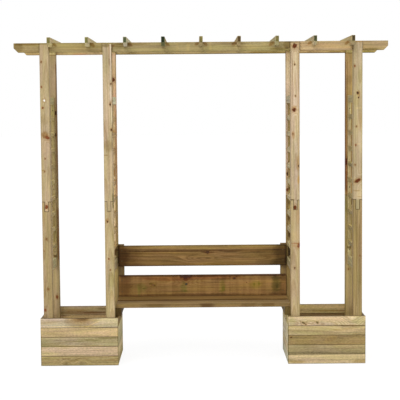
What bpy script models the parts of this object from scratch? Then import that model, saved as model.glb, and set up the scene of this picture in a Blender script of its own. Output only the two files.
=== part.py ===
"""Garden arbor bench in planed softwood: two square box planters, four posts in each, a bench between the
inner posts, beams along the front and the rear posts, and rafters notched over the beams.

Metres, +Z up, front towards -Y, X along the bench. The origin is on the ground at the centre of the plan.
Run with blender --background --python part.py, or from the text editor.
"""

import math

import bmesh
import bpy
from mathutils import Matrix, Vector

# Shared by all pieces
FIT_GAP = 0.0003  # left between faces that touch
CUT_OVERRUN = 0.010  # how far a cutter reaches past the wood
EASED_EDGE = 0.002  # chamfer on planed edges
WELD_DISTANCE = 0.00005  # joins the faces of a sawn outline to its sides
SHARP_ANGLE = math.radians(30)  # outline corners sharper than this are eased

# Planters
PLANTER_SIDE = 0.500  # outer width and depth
BOARD_HEIGHT = 0.062
BOARD_ROWS = 5
WALL_THICKNESS = 0.020
BOARD_CHAMFER = 0.003  # two of them make the V between boards
BENCH_CLEAR = 1.140  # between the bench faces of the inner posts

# Planter floors
RUNNER_WIDTH = 0.040
RUNNER_HEIGHT = 0.028
RUNNER_SPACING = 0.240
FLOOR_THICKNESS = 0.015
FLOOR_HOUSING = 0.003  # the slats are let over the runners by this much
FLOOR_GAP = 0.010
FLOOR_SLATS = 3  # between the front and the rear posts

# Posts, each of two lengths with a bridle joint
POST = 0.058
SHOULDER_HEIGHT = 1.063
TONGUE_LENGTH = 0.063
TONGUE_WIDTH = 0.024
POST_TOP_DROP = 0.010  # post top below the beam's top

# Beams
BEAM_TOP = 2.078
BEAM_HEIGHT = 0.060
BEAM_THICKNESS = 0.022
BEAM_OVERHANG = 0.166  # past the outer posts
BEAM_END_FACE = 0.032  # upright part of an end, above its 45 degree cut

# Rafters
RAFTER_COUNT = 9
RAFTER_THICKNESS = 0.022
RAFTER_HEIGHT = 0.058
RAFTER_NOTCH = 0.028
RAFTER_OVERHANG = 0.113  # past the outer faces of the beams
RAFTER_END_FACE = 0.034  # upright part of an end, above its 45 degree cut

# Seat
BEARER_WIDTH = 0.038
BEARER_HEIGHT = 0.054
BEARER_REAR_INSET = 0.010  # from the rear faces of the rear posts
BEARER_LEAST_LAP = 0.015  # on the front posts
SEAT_BOARD_WIDTH = 0.150
SEAT_BOARD_THICKNESS = 0.024
SEAT_GAP = 0.040
SEAT_END_CLEARANCE = 0.004
SEAT_BACK_CLEARANCE = 0.003
SEAT_NOSE = 0.003  # the front board stands this far past the bearers

# Back
LOWER_BACK_BOARD_WIDTH = 0.150
UPPER_BACK_BOARD_WIDTH = 0.140
BACK_BOARD_THICKNESS = 0.020
BACK_DROP = 0.007  # lower board reaches this far below the top of the seat
BACK_GAP = 0.061
BACK_END_CLEARANCE = 0.004
BATTEN_WIDTH = 0.040
BATTEN_DEPTH = 0.038
BATTEN_RISE = 0.006  # above the upper board

# Ladder trellises
TRELLIS_BOTTOM = 0.597
TRELLIS_TOP = 1.735
TRELLIS_INSET = 0.012  # from the bench faces of its posts
STILE_WIDTH = 0.030
STILE_THICKNESS = 0.020
BOTTOM_RAIL_HEIGHT = 0.060
TOP_RAIL_HEIGHT = 0.048
RAIL_DROP = 0.002  # rails stand in from the stiles' ends
RAIL_SETBACK = 0.001  # from the stiles' faces
LATH_COUNT = 9
LATH_HEIGHT = 0.029
LATH_SETBACK = 0.002  # from the stiles' faces
TENON = 0.010  # rails and laths enter the stiles by this much

# Colours of the treated pine, linear RGB
POST_COLOUR = (0.52, 0.39, 0.21)
LOWER_POST_COLOUR = (0.45, 0.34, 0.16)
BEAM_COLOUR = (0.34, 0.27, 0.12)
RAFTER_COLOUR = (0.32, 0.27, 0.15)
WALL_COLOUR = (0.50, 0.37, 0.19)
FLOOR_COLOUR = (0.30, 0.23, 0.12)
SEAT_COLOUR = (0.26, 0.18, 0.08)
BEARER_COLOUR = (0.20, 0.15, 0.06)
BACK_COLOUR = (0.20, 0.11, 0.04)
TRELLIS_COLOUR = (0.38, 0.32, 0.18)
WOOD_ROUGHNESS = 0.75

# Places that follow from the sizes above
BENCH_FACE_X = BENCH_CLEAR / 2  # bench faces of the inner posts
PLANTER_NEAR_X = BENCH_FACE_X - FIT_GAP - WALL_THICKNESS
PLANTER_CENTRE_X = PLANTER_NEAR_X + PLANTER_SIDE / 2
PLANTER_HEIGHT = BOARD_HEIGHT * BOARD_ROWS
POST_OFFSET = PLANTER_SIDE / 2 - WALL_THICKNESS - FIT_GAP - POST / 2  # from the planter's centre
POST_FACE = POST_OFFSET + POST / 2  # faces towards the walls
POST_INNER_FACE = POST_OFFSET - POST / 2  # faces towards the planter's middle
INNER_POST_X = PLANTER_CENTRE_X - POST_OFFSET
OUTER_POST_X = PLANTER_CENTRE_X + POST_OFFSET
BEAM_BOTTOM = BEAM_TOP - BEAM_HEIGHT
BEAM_NOSE = BEAM_HEIGHT - BEAM_END_FACE  # rise of the 45 degree cut
POST_TOP = BEAM_TOP - POST_TOP_DROP
BEAM_END_X = OUTER_POST_X + POST / 2 + BEAM_OVERHANG
BEARER_BOTTOM = PLANTER_HEIGHT + FIT_GAP
BEARER_TOP = BEARER_BOTTOM + BEARER_HEIGHT
SEAT_TOP = BEARER_TOP + FIT_GAP + SEAT_BOARD_THICKNESS
BACK_REAR_Y = POST_INNER_FACE - FIT_GAP  # rear faces of the back boards
BACK_FRONT_Y = BACK_REAR_Y - BACK_BOARD_THICKNESS
SEAT_REAR_Y = BACK_FRONT_Y - SEAT_BACK_CLEARANCE
SEAT_FRONT_Y = SEAT_REAR_Y - 2 * SEAT_BOARD_WIDTH - SEAT_GAP
LOWER_BACK_BOTTOM = SEAT_TOP - BACK_DROP
UPPER_BACK_BOTTOM = LOWER_BACK_BOTTOM + LOWER_BACK_BOARD_WIDTH + BACK_GAP
BATTEN_TOP = UPPER_BACK_BOTTOM + UPPER_BACK_BOARD_WIDTH + BATTEN_RISE
RAFTER_BOTTOM = BEAM_TOP + FIT_GAP - RAFTER_NOTCH
RAFTER_NOSE = RAFTER_HEIGHT - RAFTER_END_FACE  # rise of the 45 degree cut

# Turns of a flat outline: its first axis, its second axis and the way it is extruded
QUARTER_TURN = math.radians(90)
FACING_X = (QUARTER_TURN, 0.0, QUARTER_TURN)  # outline in Y and Z
FACING_Y = (QUARTER_TURN, 0.0, 0.0)  # outline in X and Z


def clear_scene():
    for obj in list(bpy.data.objects):
        bpy.data.objects.remove(obj, do_unlink=True)


def new_collection(name):
    collection = bpy.data.collections.new(name)
    bpy.context.scene.collection.children.link(collection)
    return collection


def timber_material(name, colour):
    material = bpy.data.materials.new(name + "_timber")
    material.use_nodes = True
    shader = material.node_tree.nodes["Principled BSDF"]
    shader.inputs["Base Color"].default_value = (*colour, 1.0)
    shader.inputs["Roughness"].default_value = WOOD_ROUGHNESS
    shader.inputs["Metallic"].default_value = 0.0
    material.diffuse_color = (*colour, 1.0)
    return material


def place(obj, collection, location, parent):
    collection.objects.link(obj)
    obj.parent = parent
    obj.location = location
    return obj


def stick_mesh(name, boxes, grain):
    """Square-edged sticks, each a (centre, size) pair, with the edges along the grain marked for easing."""
    bm = bmesh.new()
    for centre, size in boxes:
        shape = Matrix.Translation(Vector(centre)) @ Matrix.Diagonal((*size, 1.0))
        bmesh.ops.create_cube(bm, size=1.0, matrix=shape)
    marked = bm.edges.layers.float.new("bevel_weight_edge")
    for edge in bm.edges:
        run = edge.verts[1].co - edge.verts[0].co
        if abs(run[grain]) > EASED_EDGE:
            edge[marked] = 1.0
    mesh = bpy.data.meshes.new(name)
    bm.to_mesh(mesh)
    bm.free()
    return mesh


def ease_edges(obj):
    bevel = obj.modifiers.new("Eased edges", "BEVEL")
    bevel.width = EASED_EDGE
    bevel.segments = 1
    bevel.limit_method = "WEIGHT"


def sticks(name, boxes, grain, colour, parent, location=(0.0, 0.0, 0.0)):
    """One part made of planed sticks with eased long edges."""
    obj = bpy.data.objects.new(name, stick_mesh(name, boxes, grain))
    place(obj, parts, location, parent)
    obj.data.materials.append(timber_material(name, colour))
    ease_edges(obj)
    return obj


def helper(obj):
    obj.hide_render = True
    obj.display_type = "WIRE"
    return obj


def cut(obj, label, low, high):
    """Cuts a box, given by two corners in the part's own axes, from a part."""
    centre = [(a + b) / 2 for a, b in zip(low, high)]
    size = [b - a for a, b in zip(low, high)]
    bm = bmesh.new()
    bmesh.ops.create_cube(bm, size=1.0, matrix=Matrix.Diagonal((*size, 1.0)))
    mesh = bpy.data.meshes.new(obj.name + "_" + label)
    bm.to_mesh(mesh)
    bm.free()
    cutter = bpy.data.objects.new(obj.name + "_" + label, mesh)
    place(cutter, cutters, centre, obj)
    helper(cutter)
    boolean = obj.modifiers.new(label, "BOOLEAN")
    boolean.operation = "DIFFERENCE"
    boolean.solver = "EXACT"
    boolean.object = cutter


def join(obj, label, boxes, grain):
    """Joins more sticks to a part, as one glued and nailed panel."""
    guide = bpy.data.objects.new(obj.name + "_" + label, stick_mesh(obj.name + "_" + label, boxes, grain))
    place(guide, cutters, (0.0, 0.0, 0.0), obj)
    helper(guide)
    ease_edges(guide)
    boolean = obj.modifiers.new(label, "BOOLEAN")
    boolean.operation = "UNION"
    boolean.solver = "EXACT"
    boolean.object = guide


def outline_curve(name, outline, thickness):
    curve = bpy.data.curves.new(name, "CURVE")
    curve.dimensions = "2D"
    curve.fill_mode = "BOTH"
    curve.extrude = thickness / 2
    spline = curve.splines.new("POLY")
    spline.points.add(len(outline) - 1)
    for point, (across, up) in zip(spline.points, outline):
        point.co = (across, up, 0.0, 1.0)
    spline.use_cyclic_u = True
    return curve


def sawn_board(name, outline, thickness, facing, colour, location):
    """A board sawn to an outline, with every outer corner eased and the notches left sharp."""
    drawn = bpy.data.objects.new(name + "_outline", outline_curve(name + "_outline", outline, thickness))
    place(drawn, cutters, location, None)
    drawn.rotation_euler = facing
    bpy.context.view_layer.update()
    evaluated = drawn.evaluated_get(bpy.context.evaluated_depsgraph_get())
    mesh = bpy.data.meshes.new_from_object(evaluated)
    mesh.name = name
    bm = bmesh.new()
    bm.from_mesh(mesh)
    bmesh.ops.remove_doubles(bm, verts=bm.verts, dist=WELD_DISTANCE)
    bmesh.ops.recalc_face_normals(bm, faces=bm.faces)
    marked = bm.edges.layers.float.new("bevel_weight_edge")
    for edge in bm.edges:
        if edge.is_convex and edge.calc_face_angle() > SHARP_ANGLE:
            edge[marked] = 1.0
    bm.to_mesh(mesh)
    bm.free()
    obj = bpy.data.objects.new(name, mesh)
    place(obj, parts, (0.0, 0.0, 0.0), None)
    obj.matrix_world = drawn.matrix_world.copy()
    bpy.data.objects.remove(drawn, do_unlink=True)
    obj.data.materials.clear()
    obj.data.materials.append(timber_material(name, colour))
    ease_edges(obj)
    return obj


def wall_outline():
    """Section of a planter wall: boards edge to edge, each with chamfered corners on both faces."""
    face = WALL_THICKNESS / 2
    ways_up = []
    for row in range(BOARD_ROWS):
        low = row * BOARD_HEIGHT
        high = low + BOARD_HEIGHT
        ways_up.append((face - BOARD_CHAMFER, low))
        ways_up.append((face, low + BOARD_CHAMFER))
        ways_up.append((face, high - BOARD_CHAMFER))
    ways_up.append((face - BOARD_CHAMFER, PLANTER_HEIGHT))
    ways_down = [(-across, up) for across, up in reversed(ways_up)]
    return ways_up + ways_down


def planter_wall(name, length, facing, location, parent):
    obj = bpy.data.objects.new(name, outline_curve(name, wall_outline(), length))
    place(obj, parts, location, parent)
    obj.rotation_euler = facing
    obj.data.materials.append(timber_material(name, WALL_COLOUR))
    return obj


def planter_walls(side, unit, bench_way):
    reach = (PLANTER_SIDE - WALL_THICKNESS) / 2
    between = PLANTER_SIDE - 2 * WALL_THICKNESS - 2 * FIT_GAP
    planter_wall(side + "_planter_wall_front", PLANTER_SIDE, FACING_X, (0.0, -reach, 0.0), unit)
    planter_wall(side + "_planter_wall_rear", PLANTER_SIDE, FACING_X, (0.0, reach, 0.0), unit)
    planter_wall(side + "_planter_wall_bench", between, FACING_Y, (bench_way * reach, 0.0, 0.0), unit)
    planter_wall(side + "_planter_wall_outer", between, FACING_Y, (-bench_way * reach, 0.0, 0.0), unit)


def planter_floor(side, unit):
    """Slats over two runners: full ones between the post pairs, short ones between the posts of a pair."""
    inside = PLANTER_SIDE / 2 - WALL_THICKNESS - FIT_GAP
    row_end = POST_INNER_FACE - FIT_GAP
    runner_size = (RUNNER_WIDTH, 2 * inside, RUNNER_HEIGHT)
    runners = []
    for way in (-1, 1):
        runners.append(((way * RUNNER_SPACING / 2, 0.0, RUNNER_HEIGHT / 2), runner_size))
    level = RUNNER_HEIGHT - FLOOR_HOUSING + FLOOR_THICKNESS / 2
    slat = (2 * row_end - FLOOR_GAP * (FLOOR_SLATS - 1)) / FLOOR_SLATS
    slats = []
    for index in range(FLOOR_SLATS):
        centre = -row_end + slat / 2 + index * (slat + FLOOR_GAP)
        slats.append(((0.0, centre, level), (2 * inside, slat, FLOOR_THICKNESS)))
    short = inside - row_end - FLOOR_GAP
    for way in (-1, 1):
        centre = way * (inside - short / 2)
        slats.append(((0.0, centre, level), (2 * row_end, short, FLOOR_THICKNESS)))
    floor = sticks(side + "_planter_floor", runners, 1, FLOOR_COLOUR, unit)
    join(floor, "slats", slats, 0)


def lower_post(name, x, y, unit):
    height = SHOULDER_HEIGHT
    box = ((0.0, 0.0, height / 2), (POST, POST, height))
    post = sticks(name, [box], 2, LOWER_POST_COLOUR, unit, (x, y, 0.0))
    slot = TONGUE_WIDTH / 2
    past = POST / 2 + CUT_OVERRUN
    cut(post, "bridle_slot", (-slot, -past, height - TONGUE_LENGTH), (slot, past, height + CUT_OVERRUN))


def upper_post(name, x, y, unit):
    low = SHOULDER_HEIGHT - TONGUE_LENGTH + FIT_GAP
    shoulder = SHOULDER_HEIGHT + FIT_GAP
    box = ((0.0, 0.0, (low + POST_TOP) / 2), (POST, POST, POST_TOP - low))
    post = sticks(name, [box], 2, POST_COLOUR, unit, (x, y, 0.0))
    cheek = TONGUE_WIDTH / 2 - FIT_GAP
    past = POST / 2 + CUT_OVERRUN
    under = low - CUT_OVERRUN
    cut(post, "left_shoulder", (-past, -past, under), (-cheek, past, shoulder))
    cut(post, "right_shoulder", (cheek, -past, under), (past, past, shoulder))
    slot = BEAM_THICKNESS / 2 + FIT_GAP
    cut(post, "beam_slot", (-past, -slot, BEAM_BOTTOM - FIT_GAP), (past, slot, POST_TOP + CUT_OVERRUN))


def planter_posts(side, unit, bench_way):
    for column, x in (("inner", bench_way * POST_OFFSET), ("outer", -bench_way * POST_OFFSET)):
        for row, y in (("front", -POST_OFFSET), ("rear", POST_OFFSET)):
            name = f"{side}_{column}_{row}_post"
            lower_post(name + "_lower", x, y, unit)
            upper_post(name + "_upper", x, y, unit)


def trellis(name, x, unit):
    """A ladder between a front and a rear post: two stiles, two rails and laths between them."""
    reach = POST_INNER_FACE - FIT_GAP
    height = TRELLIS_TOP - TRELLIS_BOTTOM
    middle = (TRELLIS_TOP + TRELLIS_BOTTOM) / 2
    stiles = []
    for way in (-1, 1):
        centre = (0.0, way * (reach - STILE_WIDTH / 2), middle)
        stiles.append((centre, (STILE_THICKNESS, STILE_WIDTH, height)))
    run = 2 * (reach - STILE_WIDTH + TENON)
    rail = STILE_THICKNESS - 2 * RAIL_SETBACK
    lath = STILE_THICKNESS - 2 * LATH_SETBACK
    low_rail = TRELLIS_BOTTOM + RAIL_DROP + BOTTOM_RAIL_HEIGHT / 2
    high_rail = TRELLIS_TOP - RAIL_DROP - TOP_RAIL_HEIGHT / 2
    rungs = [
        ((0.0, 0.0, low_rail), (rail, run, BOTTOM_RAIL_HEIGHT)),
        ((0.0, 0.0, high_rail), (rail, run, TOP_RAIL_HEIGHT)),
    ]
    bottom_inner = low_rail + BOTTOM_RAIL_HEIGHT / 2
    top_inner = high_rail - TOP_RAIL_HEIGHT / 2
    gap = (top_inner - bottom_inner - LATH_COUNT * LATH_HEIGHT) / (LATH_COUNT + 1)
    for index in range(LATH_COUNT):
        z = bottom_inner + gap + LATH_HEIGHT / 2 + index * (LATH_HEIGHT + gap)
        rungs.append(((0.0, 0.0, z), (lath, run, LATH_HEIGHT)))
    ladder = sticks(name, stiles, 2, TRELLIS_COLOUR, unit, (x, 0.0, 0.0))
    join(ladder, "rungs", rungs, 1)


def planter_trellises(side, unit, bench_way):
    inset = POST / 2 - TRELLIS_INSET - STILE_THICKNESS / 2
    trellis(side + "_inner_trellis", bench_way * (POST_OFFSET + inset), unit)
    trellis(side + "_outer_trellis", bench_way * (inset - POST_OFFSET), unit)


def planter_unit(side, bench_way):
    """A planter with its posts and trellises; bench_way is +1 where the bench lies towards +X."""
    unit = bpy.data.objects.new(side + "_planter_unit", None)
    place(unit, parts, (-bench_way * PLANTER_CENTRE_X, 0.0, 0.0), None)
    planter_walls(side, unit, bench_way)
    planter_floor(side, unit)
    planter_posts(side, unit, bench_way)
    planter_trellises(side, unit, bench_way)


def beam_row(row, y):
    """Three lengths of beam, butted inside the inner posts' slots, with the outer ends cut at 45 degrees."""
    butt = INNER_POST_X + FIT_GAP
    end_piece = [
        (butt, 0.0),
        (BEAM_END_X - BEAM_NOSE, 0.0),
        (BEAM_END_X, BEAM_NOSE),
        (BEAM_END_X, BEAM_HEIGHT),
        (butt, BEAM_HEIGHT),
    ]
    mirrored = [(-x, z) for x, z in reversed(end_piece)]
    half = INNER_POST_X - FIT_GAP
    middle = [(-half, 0.0), (half, 0.0), (half, BEAM_HEIGHT), (-half, BEAM_HEIGHT)]
    for place_name, outline in (("left", mirrored), ("middle", middle), ("right", end_piece)):
        name = f"{row}_beam_{place_name}"
        sawn_board(name, outline, BEAM_THICKNESS, FACING_Y, BEAM_COLOUR, (0.0, y, BEAM_BOTTOM))


def rafter_outline():
    """Half of a rafter's side, from its end to the middle, then mirrored."""
    notch_near = POST_OFFSET - BEAM_THICKNESS / 2 - FIT_GAP
    notch_far = POST_OFFSET + BEAM_THICKNESS / 2 + FIT_GAP
    end = POST_OFFSET + BEAM_THICKNESS / 2 + RAFTER_OVERHANG
    rear_half = [
        (notch_near, 0.0),
        (notch_near, RAFTER_NOTCH),
        (notch_far, RAFTER_NOTCH),
        (notch_far, 0.0),
        (end - RAFTER_NOSE, 0.0),
        (end, RAFTER_NOSE),
        (end, RAFTER_HEIGHT),
    ]
    front_half = [(-y, z) for y, z in reversed(rear_half)]
    return rear_half + front_half


def clear_of_inner_posts(x):
    """A rafter that would land on an inner post stands beside it."""
    reach = POST / 2 + RAFTER_THICKNESS / 2 + FIT_GAP
    off = abs(x) - INNER_POST_X
    if abs(off) >= reach:
        return x
    beside = INNER_POST_X - reach if off < 0 else INNER_POST_X + reach
    return beside if x > 0 else -beside


def rafters():
    outline = rafter_outline()
    outermost = OUTER_POST_X - POST / 2 - FIT_GAP - RAFTER_THICKNESS / 2
    pitch = 2 * outermost / (RAFTER_COUNT - 1)
    for index in range(RAFTER_COUNT):
        x = clear_of_inner_posts(-outermost + index * pitch)
        location = (x, 0.0, RAFTER_BOTTOM)
        sawn_board(f"rafter_{index + 1}", outline, RAFTER_THICKNESS, FACING_X, RAFTER_COLOUR, location)


def seat():
    bearer_front = min(SEAT_FRONT_Y + SEAT_NOSE, -POST_INNER_FACE - BEARER_LEAST_LAP)
    bearer_rear = POST_FACE - BEARER_REAR_INSET
    bearer_size = (BEARER_WIDTH, bearer_rear - bearer_front, BEARER_HEIGHT)
    bearer_y = (bearer_front + bearer_rear) / 2
    bearer_z = (BEARER_BOTTOM + BEARER_TOP) / 2
    for side, way in (("left", -1), ("right", 1)):
        x = way * (BENCH_FACE_X - FIT_GAP - BEARER_WIDTH / 2)
        box = ((0.0, 0.0, 0.0), bearer_size)
        sticks(f"seat_bearer_{side}", [box], 1, BEARER_COLOUR, None, (x, bearer_y, bearer_z))
    board = (2 * (BENCH_FACE_X - SEAT_END_CLEARANCE), SEAT_BOARD_WIDTH, SEAT_BOARD_THICKNESS)
    z = SEAT_TOP - SEAT_BOARD_THICKNESS / 2
    for row, y in (
        ("front", SEAT_FRONT_Y + SEAT_BOARD_WIDTH / 2),
        ("rear", SEAT_REAR_Y - SEAT_BOARD_WIDTH / 2),
    ):
        sticks(f"seat_board_{row}", [((0.0, 0.0, 0.0), board)], 0, SEAT_COLOUR, None, (0.0, y, z))


def back():
    length = 2 * (BENCH_FACE_X - BACK_END_CLEARANCE)
    y = (BACK_FRONT_Y + BACK_REAR_Y) / 2
    for row, low, width in (
        ("lower", LOWER_BACK_BOTTOM, LOWER_BACK_BOARD_WIDTH),
        ("upper", UPPER_BACK_BOTTOM, UPPER_BACK_BOARD_WIDTH),
    ):
        board = (length, BACK_BOARD_THICKNESS, width)
        location = (0.0, y, low + width / 2)
        sticks(f"back_board_{row}", [((0.0, 0.0, 0.0), board)], 0, BACK_COLOUR, None, location)
    foot = BEARER_TOP + FIT_GAP
    batten = (BATTEN_WIDTH, BATTEN_DEPTH, BATTEN_TOP - foot)
    for side, way in (("left", -1), ("right", 1)):
        x = way * (BENCH_FACE_X - FIT_GAP - BATTEN_WIDTH / 2)
        location = (x, POST_INNER_FACE + BATTEN_DEPTH / 2, (foot + BATTEN_TOP) / 2)
        sticks(f"back_batten_{side}", [((0.0, 0.0, 0.0), batten)], 2, BACK_COLOUR, None, location)


clear_scene()
parts = new_collection("arbor_bench")
cutters = new_collection("cutters")
planter_unit("left", 1)
planter_unit("right", -1)
beam_row("front", -POST_OFFSET)
beam_row("rear", POST_OFFSET)
rafters()
seat()
back()
bpy.context.view_layer.update()
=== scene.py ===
import math
import random

import bmesh
import bpy
from mathutils import Matrix, Vector


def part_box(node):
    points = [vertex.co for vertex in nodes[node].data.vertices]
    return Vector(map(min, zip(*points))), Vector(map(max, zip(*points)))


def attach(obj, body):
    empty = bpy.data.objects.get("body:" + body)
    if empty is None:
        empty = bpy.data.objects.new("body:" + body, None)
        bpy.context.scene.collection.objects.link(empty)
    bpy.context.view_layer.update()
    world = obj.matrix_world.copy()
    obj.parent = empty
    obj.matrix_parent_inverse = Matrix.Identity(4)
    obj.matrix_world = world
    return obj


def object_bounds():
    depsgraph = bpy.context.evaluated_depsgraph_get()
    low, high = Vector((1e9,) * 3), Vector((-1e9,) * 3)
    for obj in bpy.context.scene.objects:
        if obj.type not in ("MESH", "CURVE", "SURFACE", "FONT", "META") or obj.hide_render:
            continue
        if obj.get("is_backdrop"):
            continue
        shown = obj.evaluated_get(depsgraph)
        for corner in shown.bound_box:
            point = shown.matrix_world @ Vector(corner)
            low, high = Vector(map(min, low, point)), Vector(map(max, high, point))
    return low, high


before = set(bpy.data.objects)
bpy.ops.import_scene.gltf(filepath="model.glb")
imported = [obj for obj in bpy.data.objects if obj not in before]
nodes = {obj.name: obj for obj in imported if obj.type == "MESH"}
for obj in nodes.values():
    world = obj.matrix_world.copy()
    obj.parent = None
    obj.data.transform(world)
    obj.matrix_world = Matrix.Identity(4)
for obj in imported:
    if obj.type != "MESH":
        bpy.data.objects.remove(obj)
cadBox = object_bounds()
print("arbor: frame loaded,", len(nodes), "timber pieces")


def paint(red, green, blue):
    # a colour as shown on screen, 0 to 255, as the linear value that shaders take
    channels = [value / 255 for value in (red, green, blue)]
    return tuple(c / 12.92 if c <= 0.04045 else ((c + 0.055) / 1.055) ** 2.4 for c in channels)


def percent(tint):
    return tuple(value / 100 for value in tint)


class Wire:
    # one output socket, which can be used in sums

    def __init__(self, finish, socket):
        self.finish = finish
        self.socket = socket

    def isVector(self):
        return self.socket.type in ("VECTOR", "RGBA")

    def sum(self, operation, other, flipped=False):
        kind, sides = "Math", (other, self) if flipped else (self, other)
        if any(isinstance(side, tuple) or (isinstance(side, Wire) and side.isVector()) for side in sides):
            kind = "VectorMath"
            sides = [(side,) * 3 if isinstance(side, (int, float)) else side for side in sides]
        return self.finish.node(kind, {"operation": operation}, dict(enumerate(sides)))

    def __add__(self, other):
        return self.sum("ADD", other)

    def __radd__(self, other):
        return self.sum("ADD", other, True)

    def __sub__(self, other):
        return self.sum("SUBTRACT", other)

    def __rsub__(self, other):
        return self.sum("SUBTRACT", other, True)

    def __mul__(self, other):
        return self.sum("MULTIPLY", other)

    def __rmul__(self, other):
        return self.sum("MULTIPLY", other, True)

    def __truediv__(self, other):
        return self.sum("DIVIDE", other)

    def __rtruediv__(self, other):
        return self.sum("DIVIDE", other, True)

    def __getitem__(self, axis):
        return self.finish.node("SeparateXYZ", inputs={0: self}, output=axis)


class Finish:
    # a material, or the world, under construction

    def __init__(self, name, world=None):
        self.material = world or bpy.data.materials.new(name)
        self.material.use_nodes = True
        self.nodes = self.material.node_tree.nodes
        self.links = self.material.node_tree.links
        self.nodes.clear()

    def node(self, kind, settings=None, inputs=None, output=0):
        made = self.nodes.new("ShaderNode" + kind)
        for name, value in (settings or {}).items():
            setattr(made, name, value)
        for name, value in (inputs or {}).items():
            if isinstance(value, Wire):
                self.links.new(value.socket, made.inputs[name])
            else:
                made.inputs[name].default_value = value
        return Wire(self, made.outputs[output]) if made.outputs else made

    def math(self, operation, *values):
        return self.node("Math", {"operation": operation}, dict(enumerate(values)))

    def size(self, value):
        return self.math("ABSOLUTE", value)

    def fade(self, value):
        return self.math("EXPONENT", value)

    def most(self, first, second):
        return self.math("MAXIMUM", first, second)

    def length(self, vector):
        return self.node("VectorMath", {"operation": "LENGTH"}, {0: vector}, "Value")

    def rise(self, value, low, high):
        # 0 below low, 1 above high, smooth between them
        ends = {"Value": value, "From Min": low, "From Max": high}
        return self.node("MapRange", {"interpolation_type": "SMOOTHSTEP"}, ends)

    def fall(self, value, low, high):
        return 1.0 - self.rise(value, low, high)

    def seam(self, value, place, line):
        # 1 on a thin line at the place
        return self.fall(self.size(value - place), 0.35 * line, line)

    def noise(self, place, detail=2.0, output=0):
        return self.node("TexNoise", inputs={"Vector": place, "Scale": 1.0, "Detail": detail}, output=output)

    def wander(self, value, detail=1.0):
        inputs = {"W": value, "Scale": 1.0, "Detail": detail}
        return self.node("TexNoise", {"noise_dimensions": "1D"}, inputs)

    def luck(self, value):
        return self.node("TexWhiteNoise", {"noise_dimensions": "1D"}, {"W": value}, "Color")

    def mix(self, share, first, second):
        first, second = ((*side, 1.0) if isinstance(side, tuple) else side for side in (first, second))
        return self.node("Mix", {"data_type": "RGBA"}, {0: share, 6: first, 7: second}, 2)

    def tint(self, share, tint):
        # white where share is 0, the tint where it is 1: a factor for a colour
        return self.mix(share, (1.0, 1.0, 1.0), percent(tint))

    def ramp(self, value, stops, interpolation="LINEAR"):
        made = self.node("ValToRGB", inputs={0: value})
        band = made.socket.node.color_ramp
        band.interpolation = interpolation
        while len(band.elements) < len(stops):
            band.elements.new(1.0)
        for element, (place, colour) in zip(band.elements, stops):
            element.position = place
            element.color = (*colour, 1.0)
        return made

    def vector(self, x, y, z):
        return self.node("CombineXYZ", inputs={0: x, 1: y, 2: z})

    def place(self):
        return self.node("TexCoord", output="Object")

    def normal(self):
        return self.node("TexCoord", output="Normal")

    def surface(self, colour, roughness, height, depth, settings):
        normal = self.node("Bump", inputs={"Strength": 1.0, "Distance": depth, "Height": height})
        inputs = {"Base Color": colour, "Roughness": roughness, "Normal": normal, **settings}
        shader = self.node("BsdfPrincipled", inputs=inputs)
        self.node("OutputMaterial", inputs={"Surface": shader})
        return self.material


def addObject(name, data):
    made = bpy.data.objects.new(name, data)
    bpy.context.scene.collection.objects.link(made)
    return made


def meshFrom(bm, name):
    mesh = bpy.data.meshes.new(name)
    bm.to_mesh(mesh)
    bm.free()
    return mesh


# Camera at the photograph's viewing point, in front of the bench and under the beams
cameraView = {
    "location": (-0.0397, -8.1206, 1.6717),
    "turns": (("Z", -0.1886), ("X", 85.6247), ("Z", -0.45)),  # heading, tilt up from straight down, roll
    "lens": 110.85,
    "sensor": 36.0,
    "farClip": 200.0,
}


def makeCamera(view):
    data = bpy.data.cameras.new("photo_camera")
    data.sensor_width = view["sensor"]
    data.lens = view["lens"]
    data.clip_end = view["farClip"]
    camera = addObject("photo_camera", data)
    camera.matrix_world = Matrix.Translation(view["location"])
    for axis, angle in view["turns"]:
        camera.matrix_world = camera.matrix_world @ Matrix.Rotation(math.radians(angle), 4, axis)
    bpy.context.scene.camera = camera


# Plain soft studio: a wide lamp in front and above, weaker ones beside and behind, an even sky
studio = {
    "sky": 0.43,
    "lamps": {
        "key_lamp": {"from": (-2.4, -4.6, 6.0), "strength": 1.8, "softness": 45},
        "side_lamp": {"from": (5.0, -4.0, 3.0), "strength": 0.85, "softness": 80},
        "back_lamp": {"from": (1.0, 5.0, 5.0), "strength": 1.0, "softness": 80},
    },
    "floorSize": 60.0,
    "floorDrop": 0.0005,
    "floorPaint": 0.65,
    "floorShade": 0.14,  # how much of the floor's own shading the camera sees
    "floorGlow": 0.89,
}


def grey(level):
    return (level, level, level, 1.0)


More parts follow.
